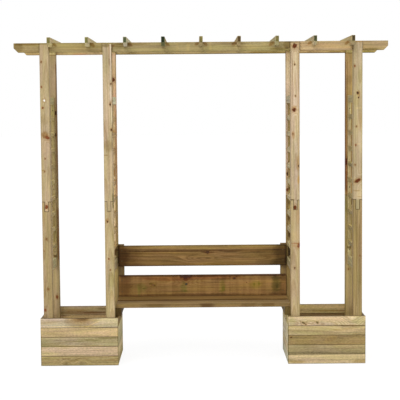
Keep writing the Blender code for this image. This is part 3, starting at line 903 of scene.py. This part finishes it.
def dressPlanterWall(name, look):
    tall, count, line = (planterWalls[key] for key in ("boardHeight", "boards", "seamLine"))
    finish = Finish(name + "_pine")
    spot, endness = grainOf(finish, name, look["axes"])
    row = finish.place()[2] / tall
    board = finish.math("FLOOR", row)
    across = (row - board - 0.5) * tall
    chance = finish.luck(board + look["seed"])
    grain = finish.vector(spot[0], across, spot[2])
    slope = finish.vector(0.0, 0.0, spot[0] * (chance[0] - 0.5) * planterWalls["heartDrift"])
    heart = chance * planterWalls["heartSpread"] - planterWalls["heartMiddle"] + slope

    def byBoard(colours):
        stops = [(number / count, colour) for number, colour in enumerate(colours)]
        return finish.ramp((board + 0.5) / count, stops, "CONSTANT")

    # painted shade: each board darker from its top edge to its lower one
    paintedBoardShade = across * (planterWalls["cupping"] / tall) + 1.0
    tone = byBoard(paint(*tone) for tone in look["tones"]) * paintedBoardShade
    shares = byBoard(percent(grain) for grain in look.get("grains", planterWalls["grains"]))
    look = {**look, **planterWalls["look"], "tone": tone, "heart": heart}
    look = {**look, "late": shares[0], "sway": shares[1], "green": shares[2]}
    seam = finish.rise(finish.size(across), tall / 2 - line * 2, tall / 2 - line / 2)
    seam = seam * planterWalls["seamDepth"]
    edge = edgeOf(finish, name, look["axes"], spot)
    dress(name, growPine(finish, look, grain, endness, chance * ((pine["drift"],) * 3), spot, edge, seam))


for name, look in wallLooks.items():
    dressPlanterWall(name, look)
print("arbor: planter walls dressed")

# Planter floors: slats over two runners
planterFloors = {
    "slatUnderside": 0.0265,
    "edge": 0.0005,
    "pieces": ["left_planter_floor", "right_planter_floor"],
    "look": {"tone": (150, 130, 92), "heart": (10, -40, 10), "green": 0.3},
}
for name in planterFloors["pieces"]:
    finish = Finish(name + "_pine")
    slat, slatEnd = grainOf(finish, name, "xyz")
    runner, runnerEnd = grainOf(finish, name, "yxz")
    underside = planterFloors["slatUnderside"]
    isSlat = finish.rise(finish.place()[2], underside - planterFloors["edge"], underside)
    endness = slatEnd * isSlat + runnerEnd * (1.0 - isSlat)
    grain = finish.mix(isSlat, runner, slat)
    dress(name, growPine(finish, planterFloors["look"], grain, endness, driftOf(name)))
print("arbor: planter floors dressed")

# Ladder trellises: two stiles, a rail at each end and nine laths between them. The inner ones' rails and
# laths have fronts that stand proud of the stiles, towards the bench
trellises = {
    "stileInside": 0.1414,
    "stileEdge": 0.0004,
    "middle": 1.166,
    "railInside": 0.500,
    "railEdge": 0.001,
    "heart": (12, 30, 12),
    "benchWay": {"left_inner_trellis": 1.0, "right_inner_trellis": -1.0},
    "benchFace": 0.5700,
    "railInset": 0.002,
    "lathInset": 0.005,
    "stileSetback": 0.002,
    "rails": [(0.599, 0.652), (1.685, 1.733)],
    "lathCount": 9,
    "lathPitch": 0.1055,
    "lathHalf": 0.0145,
    "reach": 0.1708,
    "ease": 0.0015,
}
# On the stiles, the short dark patches about 150 mm across are painted shade seen between the laths, darkest
# in the lowest gap above the bottom rail; on the inner trellises the thin dark patch 510 mm below the middle
# is painted shade along the bottom rail's top
trellisLooks = {
    "left_outer_trellis": dict(
        rail=(180, 172, 124), lath=(190, 172, 120), stile=(190, 172, 126), green=0.45,
        patches=[
            (0, 110, 600, 20, 80, 78, 66), (-500, 152, 12, 30, 40, 34, 22), (-300, 150, 200, 20, 84, 80, 68),
        ],
    ),
    "left_inner_trellis": dict(
        rail=(206, 204, 174), lath=(190, 160, 108), stile=(240, 216, 172), green=0.15,
        patches=[
            (-472, 156, 40, 60, 16, 11, 5), (0, -510, 600, 6, 50, 42, 32), (330, 150, 30, 12, 66, 50, 34),
            (60, 150, 30, 12, 60, 46, 30), (-60, 150, 30, 12, 52, 38, 24),
        ],
        front=[
            (0, -560, 600, 90, 62, 52, 44), (120, -200, 90, 300, 70, 66, 52), (130, 110, 40, 120, 74, 62, 46),
            (0, 140, 600, 130, 84, 78, 66),
        ],
    ),
    "right_inner_trellis": dict(
        rail=(196, 186, 156), lath=(194, 180, 142), stile=(164, 142, 94), green=0.3,
        patches=[
            (-472, 156, 40, 60, 12, 8.5, 3), (0, -510, 600, 6, 46, 38, 28), (-360, 152, 24, 20, 34, 27, 16),
            (-255, 152, 22, 20, 40, 32, 20), (-150, 152, 24, 20, 46, 38, 24), (110, 152, 24, 20, 60, 48, 32),
            (-55, 152, 20, 20, 44, 34, 20),
        ],
        front=[
            (0, -550, 600, 80, 68, 64, 56), (150, 0, 30, 500, 74, 66, 50), (160, 540, 16, 30, 56, 46, 34),
            (0, -330, 300, 90, 84, 82, 72),
        ],
    ),
    "right_outer_trellis": dict(
        rail=(188, 176, 128), lath=(168, 150, 98), stile=(214, 198, 156), green=0.2,
        patches=[
            (0, 110, 600, 20, 84, 86, 76), (-455, 152, 14, 30, 40, 34, 22), (-300, 150, 200, 20, 74, 72, 60),
        ],
    ),
}


def railOrLath(finish, look):
    # the tone of the rails at the ends and of the laths between them
    inside = trellises["railInside"]
    fromMiddle = finish.size(finish.place()[2] - trellises["middle"])
    isRail = finish.rise(fromMiddle, inside, inside + trellises["railEdge"])
    return finish.mix(isRail, paint(*look["lath"]), paint(*look["rail"]))


for name, look in trellisLooks.items():
    finish = Finish(name + "_pine")
    lath, _ = grainOf(finish, name, "yzx")
    stile, stileEnd = grainOf(finish, name, "zyx")
    inside = trellises["stileInside"]
    isStile = finish.rise(finish.size(lath[0]), inside - trellises["stileEdge"], inside)
    tone = finish.mix(isStile, railOrLath(finish, look), paint(*look["stile"]))
    look = {**look, "tone": tone, "heart": trellises["heart"]}
    grain = finish.mix(isStile, lath, stile)
    dress(name, growPine(finish, look, grain, stileEnd * isStile, driftOf(name)))


def frontStrip(bm, back, front, low, high):
    # one strip along the trellis, its two outer edges eased
    ease, reach = trellises["ease"], trellises["reach"]
    turn = math.copysign(ease, back - front)
    outline = [
        (back, low), (front + turn, low), (front, low + ease), (front, high - ease), (front + turn, high),
        (back, high),
    ]
    ends = [[bm.verts.new((x, y, z)) for x, z in outline] for y in (-reach, reach)]
    for step in range(len(outline)):
        after = (step + 1) % len(outline)
        bm.faces.new((ends[0][step], ends[0][after], ends[1][after], ends[1][step]))
    bm.faces.new(reversed(ends[0]))
    bm.faces.new(ends[1])


def makeTrellisFront(name, way, plan):
    back = faceOf(name, 0, way) - way * plan["stileSetback"]
    rail, lath = (-way * (plan["benchFace"] + plan[inset]) for inset in ("railInset", "lathInset"))
    bm = bmesh.new()
    for bottom, top in plan["rails"]:
        frontStrip(bm, back, rail, bottom, top)
    for number in range(plan["lathCount"]):
        z = plan["middle"] + (number - (plan["lathCount"] - 1) / 2) * plan["lathPitch"]
        frontStrip(bm, back, lath, z - plan["lathHalf"], z + plan["lathHalf"])
    bmesh.ops.recalc_face_normals(bm, faces=bm.faces)
    front = addObject(name + "_front", meshFrom(bm, name + "_front"))
    finish = Finish(name + "_front_pine")
    grain, endness = grainOf(finish, name, "yzx")
    look = trellisLooks[name]
    look = {**look, "tone": railOrLath(finish, look), "heart": plan["heart"], "patches": look["front"]}
    front.data.materials.append(growPine(finish, look, grain, endness, driftOf(name)))
    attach(front, "root")


for name, way in trellises["benchWay"].items():
    makeTrellisFront(name, way, trellises)
print("arbor: trellises dressed")

# The bench: two seat boards on bearers, two back boards on battens
bench = {
    # On the seat boards, the long dark strips along the edges by the gap between them and by the back boards
    # are painted shade
    "seat_board_front": dict(
        axes="xyz", tone=(137, 114, 75), heart=(30, -60, 4), green=0.25, band=1.1, streak=1.2,
        knots=[(30, -60, 8, "dark side"), (-330, -60, 6, "brown side")],
        patches=[
            (-220, 40, 160, 12, 70, 60, 48), (300, 38, 120, 12, 76, 66, 52), (0, 78, 800, 20, 42, 36, 28),
            (-310, -74, 60, 14, 82, 76, 64), (20, -70, 50, 16, 52, 44, 32), (170, -74, 80, 10, 120, 120, 110),
            (430, -74, 50, 14, 80, 72, 58), (-480, -74, 90, 14, 118, 118, 108),
            (300, -74, 50, 10, 84, 78, 66), (-150, -74, 70, 12, 110, 110, 102),
        ],
    ),
    "seat_board_rear": dict(
        axes="xyz", tone=(129, 102, 58), heart=(-20, -60, 4), green=0.1, band=1.1, streak=1.2,
        patches=[(0, 80, 800, 22, 50, 42, 34), (0, -74, 800, 12, 60, 52, 42)],
    ),
    "seat_bearer_left": dict(axes="yzx", tone=(104, 84, 46), heart=(20, 40, 10), green=0.3),
    "seat_bearer_right": dict(axes="yzx", tone=(140, 120, 76), heart=(-20, 40, 10), green=0.3),
    # The dark patches at both ends of the two back boards, by the posts, are painted shade
    "back_board_lower": dict(
        axes="xzy", tone=(162, 128, 77), heart=(40, 90, 2), green=0.0, band=0.7, streak=0.8, saw=(22.0, 0.5),
        cloud=1.3,
        knots=[
            (-112, 82, 34, "char", 0.0, 1.25), (-111, 12, 7, "teal"), (218, 50, 8, "dark"),
            (-335, 8, 6, "brown"), (300, 20, 3, "dark"),
        ],
        patches=[
            (-112, 62, 52, 14, 50, 32, 18), (-112, 46, 20, 12, 58, 40, 26), (-410, -10, 34, 36, 84, 98, 78),
            (-335, 10, 26, 20, 84, 86, 64), (-127, -6, 22, 34, 84, 106, 86), (135, -8, 22, 40, 90, 104, 72),
            (363, 4, 46, 36, 88, 98, 66), (-430, -40, 12, 36, 88, 110, 88), (-395, -16, 12, 5, 62, 72, 50),
            (-350, 16, 14, 5, 60, 62, 44), (-325, 4, 8, 5, 54, 56, 40), (-112, -34, 12, 6, 70, 84, 60),
            (142, -20, 10, 20, 74, 90, 58), (120, -38, 16, 4, 66, 78, 50), (350, 6, 8, 14, 74, 84, 54),
            (382, 10, 8, 18, 78, 88, 56), (505, -4, 14, 20, 66, 70, 54), (500, 10, 36, 50, 52, 62, 44),
            (-530, 0, 50, 130, 62, 54, 48), (550, 0, 30, 130, 66, 60, 52), (-250, 50, 180, 16, 86, 66, 58),
            (80, 56, 200, 14, 94, 74, 64), (0, 74, 800, 14, 38, 29, 23), (0, -66, 800, 14, 50, 44, 38),
        ],
    ),
    "back_board_upper": dict(
        axes="xzy", tone=(140, 111, 67), heart=(-50, 70, 3), green=0.05, band=1.3, streak=1.4, cloud=0.9,
        ringGap=0.01, late=0.6, lateTint=(54, 46, 34),
        knots=[(38, 22, 9, "dark", 0.0, 1.5)],
        patches=[
            (0, 60, 800, 14, 144, 162, 152), (-160, 32, 330, 6, 46, 38, 30), (300, 30, 300, 6, 74, 66, 56),
            (-300, 20, 200, 8, 118, 118, 106), (-520, -20, 120, 120, 74, 68, 60),
            (-550, -16, 60, 100, 54, 46, 32), (490, -10, 130, 100, 72, 72, 64),
            (535, -10, 70, 100, 50, 46, 34), (-568, 0, 12, 200, 50, 42, 28), (568, 0, 12, 200, 56, 50, 36),
            (-100, -60, 300, 9, 124, 126, 100), (20, 22, 30, 4, 46, 38, 28), (60, 20, 24, 4, 56, 46, 34),
            (0, -66, 800, 4, 62, 56, 48),
        ],
        swells=[(0, -20, 110, 20, 36), (300, -24, 180, 18, 22), (180, 20, 100, 16, 12)],
    ),
    "back_batten_left": dict(axes="zxy", tone=(146, 124, 86), heart=(16, -40, 10), green=0.3),
    "back_batten_right": dict(axes="zxy", tone=(142, 118, 80), heart=(-10, -40, 10), green=0.3),
}
for name, look in bench.items():
    dressStick(name, look["axes"], look)
print("arbor: bench dressed")

# Screws and nails
fixings = {
    "screwHead": 0.0076,
    "screwSides": 24,
    "crossSlot": 0.0046,
    "crossArm": 0.0011,
    "screwStand": 0.0003,
    "plateSides": 12,
    "plateReach": 0.4,  # of the head's width
    "plateStand": 0.00006,
    "weld": 0.00001,
    "nailHead": 0.0038,
    "nailSides": 12,
    "nailStand": 0.0004,
    "nailOutline": ((0.5, 0.0), (0.46, 0.7), (0.25, 1.0)),  # reach and rise
    "boardInset": 0.022,
    "boards": {
        "back_board_lower": (0.26, 0.76),
        "back_board_upper": (0.26, 0.76),
        "seat_board_front": (0.24, 0.76),
        "seat_board_rear": (0.24, 0.76),
    },
    "bearerPlaces": ((-1, 0.009, 0.5), (1, -0.014, 0.3), (1, -0.030, 0.7)),  # end, inset, share of the height
    "battenHeights": (0.462, 0.562, 0.662),
    "postPairs": {"left_inner": -1.0, "left_outer": 1.0, "right_inner": 1.0, "right_outer": -1.0},
    "trellisHeights": (0.697, 1.119, 1.647),
    "jointHeights": (1.016, 1.047),
    "beamHeight": 2.046,
    "rafterHeight": 2.092,
    "rafterShift": 0.006,
    "postRows": (-0.2007, 0.2007),
    "wallShares": (0.27, 0.73),
    "screwMetal": {"tone": (110, 96, 68), "roughness": 0.5},
    "nailMetal": {"tone": (158, 146, 116), "roughness": 0.55},
    "rust": {"share": 0.6, "tint": (55, 48, 36), "pace": (420.0, 420.0, 420.0), "fade": (0.45, 0.75)},
    "metallic": 0.85,
    "metalDepth": 0.00005,
    "metalSpread": 0.3,
}


def roundOf(count, radius):
    turns = [2 * math.pi * step / count for step in range(count)]
    return [(math.cos(turn) * radius, math.sin(turn) * radius) for turn in turns]


def screwHeadMesh(plan):
    # a flat disc with a cross cut through it, over a darker disc
    curve = bpy.data.curves.new("screw_head_line", "CURVE")
    curve.dimensions = "2D"
    curve.fill_mode = "BOTH"
    curve.extrude = plan["screwStand"] / 2
    half, arm = plan["crossSlot"] / 2, plan["crossArm"] / 2
    corner = ((half, arm), (arm, arm), (arm, half))
    cross = [(x, y) for x, y in corner] + [(-x, y) for x, y in reversed(corner)]
    cross += [(-x, -y) for x, y in corner] + [(x, -y) for x, y in reversed(corner)]
    for points in (roundOf(plan["screwSides"], plan["screwHead"] / 2), cross):
        spline = curve.splines.new("POLY")
        spline.points.add(len(points) - 1)
        spline.use_cyclic_u = True
        for point, (x, y) in zip(spline.points, points):
            point.co = (x, y, 0.0, 1.0)
    maker = bpy.data.objects.new("screw_head_line", curve)
    bm = bmesh.new()
    bm.from_mesh(bpy.data.meshes.new_from_object(maker))
    bpy.data.objects.remove(maker)
    bpy.data.curves.remove(curve)
    bmesh.ops.remove_doubles(bm, verts=bm.verts, dist=plan["weld"])
    bmesh.ops.translate(bm, verts=bm.verts, vec=(0.0, 0.0, plan["screwStand"] / 2))
    reach = plan["screwHead"] * plan["plateReach"]
    plate = bmesh.ops.create_circle(bm, cap_ends=True, segments=plan["plateSides"], radius=reach)
    bmesh.ops.translate(bm, verts=plate["verts"], vec=(0.0, 0.0, plan["plateStand"]))
    return meshFrom(bm, "screw_head")


def nailHeadMesh(plan):
    bm = bmesh.new()
    rings, sides = [], plan["nailSides"]
    for reach, rise in plan["nailOutline"]:
        ring = roundOf(sides, reach * plan["nailHead"])
        rings.append([bm.verts.new((x, y, rise * plan["nailStand"])) for x, y in ring])
    for lower, upper in zip(rings, rings[1:]):
        for step in range(sides):
            after = (step + 1) % sides
            bm.faces.new((lower[step], lower[after], upper[after], upper[step]))
    bm.faces.new(rings[-1])
    return meshFrom(bm, "nail_head")


def metalFinish(name, tone, roughness):
    finish, rust = Finish(name), fixings["rust"]
    mottle = finish.noise(finish.place() * rust["pace"], 3.0)
    colour = finish.tint(finish.rise(mottle, *rust["fade"]) * rust["share"], rust["tint"]) * paint(*tone)
    rough = (mottle - 0.5) * fixings["metalSpread"] + roughness
    return finish.surface(colour, rough, mottle, fixings["metalDepth"], {"Metallic": fixings["metallic"]})


def setHeads(name, head, rows, finish):
    # each row is a place and the way its head faces
    vertices, faces = [], []
    chance = random.Random(name)
    for place, facing in rows:
        turn = Vector(facing).to_track_quat("Z", "Y").to_matrix().to_4x4()
        spin = Matrix.Rotation(chance.uniform(0.0, math.pi), 4, "Z")
        move = Matrix.Translation(place) @ turn @ spin
        start = len(vertices)
        vertices += [move @ vertex.co for vertex in head.vertices]
        faces += [[start + index for index in face.vertices] for face in head.polygons]
    mesh = bpy.data.meshes.new(name)
    mesh.from_pydata(vertices, [], faces)
    mesh.materials.append(finish)
    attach(addObject(name, mesh), "root")


def between(name, axis, shares=(0.5,)):
    low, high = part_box(name)
    return [low[axis] + (high[axis] - low[axis]) * share for share in shares]


def onFace(name, axis, way, firsts, seconds):
    # heads on one face of a piece, at every pair of the two other coordinates
    rows = []
    for first in firsts:
        for second in seconds:
            place, facing = [first, second], [0.0, 0.0]
            place.insert(axis, faceOf(name, axis, way))
            facing.insert(axis, way)
            rows.append((place, facing))
    return rows


def fixBench(plan):
    rows = []
    for name, shares in plan["boards"].items():
        end = faceOf(name, 0, 1.0) - plan["boardInset"]
        axis, way = (1, -1.0) if name.startswith("back") else (2, 1.0)
        rows += onFace(name, axis, way, (-end, end), between(name, 3 - axis, shares))
    for side, way in (("left", 1.0), ("right", -1.0)):
        bearer, batten = "seat_bearer_" + side, "back_batten_" + side
        for end, inset, share in plan["bearerPlaces"]:
            rows += onFace(bearer, 0, way, [faceOf(bearer, 1, end) + inset], between(bearer, 2, [share]))
        rows += onFace(batten, 0, way, between(batten, 1), plan["battenHeights"])
    return rows


def fixFrames(plan):
    rows = []
    for pair, way in plan["postPairs"].items():
        (middle,) = between(pair + "_trellis", 0)
        for z in plan["trellisHeights"]:
            rows += [((middle, end * trellises["stileInside"], z), (0, -end, 0)) for end in (-1.0, 1.0)]
        for depth, inward in (("_front", 1.0), ("_rear", -1.0)):
            post = pair + depth + "_post_upper"
            rows += onFace(post, 0, way, between(post, 1), plan["jointHeights"])
            rows += onFace(post, 1, inward, between(post, 0), [plan["beamHeight"]])
    return rows


def nailRafters(plan):
    rows = []
    for name in ("rafter_" + str(number) for number in range(1, len(rafters["tones"]) + 1)):
        for y in plan["postRows"]:
            rows += onFace(name, 0, 1.0, [y], [plan["rafterHeight"]])
            rows += onFace(name, 0, -1.0, [y + plan["rafterShift"]], [plan["rafterHeight"]])
    return rows


def nailPlanters(plan):
    rows = []
    for side, sign in (("left", -1.0), ("right", 1.0)):
        columns = [place * sign for place in beams["postPlaces"]]
        walls = [("front", 1, -1.0, columns), ("rear", 1, 1.0, columns)]
        walls += [("bench", 0, -sign, plan["postRows"]), ("outer", 0, sign, plan["postRows"])]
        for end, axis, way, places in walls:
            for board in range(planterWalls["boards"]):
                heights = [planterWalls["boardHeight"] * (board + share) for share in plan["wallShares"]]
                rows += onFace(side + "_planter_wall_" + end, axis, way, places, heights)
    return rows


screwMetal = metalFinish("screw_metal", **fixings["screwMetal"])
nailMetal = metalFinish("nail_metal", **fixings["nailMetal"])
screwHead = screwHeadMesh(fixings)
nailHead = nailHeadMesh(fixings)
setHeads("bench_screws", screwHead, fixBench(fixings), screwMetal)
setHeads("frame_screws", screwHead, fixFrames(fixings), screwMetal)
setHeads("rafter_nails", nailHead, nailRafters(fixings), nailMetal)
setHeads("planter_nails", nailHead, nailPlanters(fixings), nailMetal)
print("arbor: screws and nails set")


def corners(box):
    return [list(box[0]), list(box[1])]


{"cad": corners(cadBox), "visual": corners(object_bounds())}
